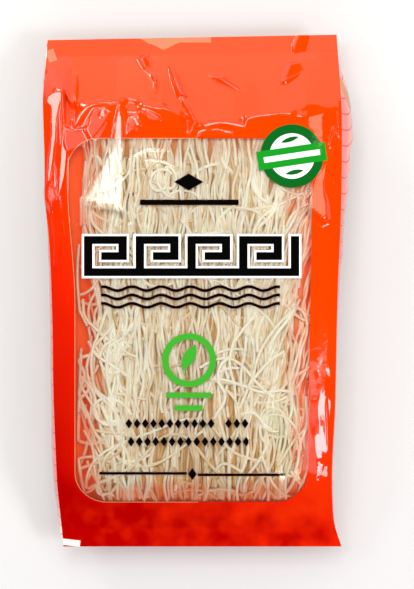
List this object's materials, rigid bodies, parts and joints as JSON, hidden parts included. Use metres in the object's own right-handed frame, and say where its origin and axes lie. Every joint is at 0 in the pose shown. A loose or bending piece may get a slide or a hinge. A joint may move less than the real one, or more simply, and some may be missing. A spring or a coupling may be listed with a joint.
{
  "type": "sealed film bag of dried rice vermicelli",
  "caption": "Glossy film bag with folded sides and flat end seals, lying on its back, with a large clear window over a block of thin dried rice noodles.",
  "frame": {"origin": "on the surface it lies on, below the middle of the bag's bounding box", "axes": "+X to the right across the front panel, +Y along the bag to its top seal, +Z out of the front panel, up"},
  "size_m": [0.1724, 0.2872, 0.0468],
  "materials": {
    "printed_film": "glossy printed film, orange-red",
    "clear_film": "clear glossy film of the window and the side panels",
    "noodles": "dried rice vermicelli, translucent off-white"
  },
  "bodies": {
    "root": {"bag": "printed_film"}
  },
  "joints": []
}
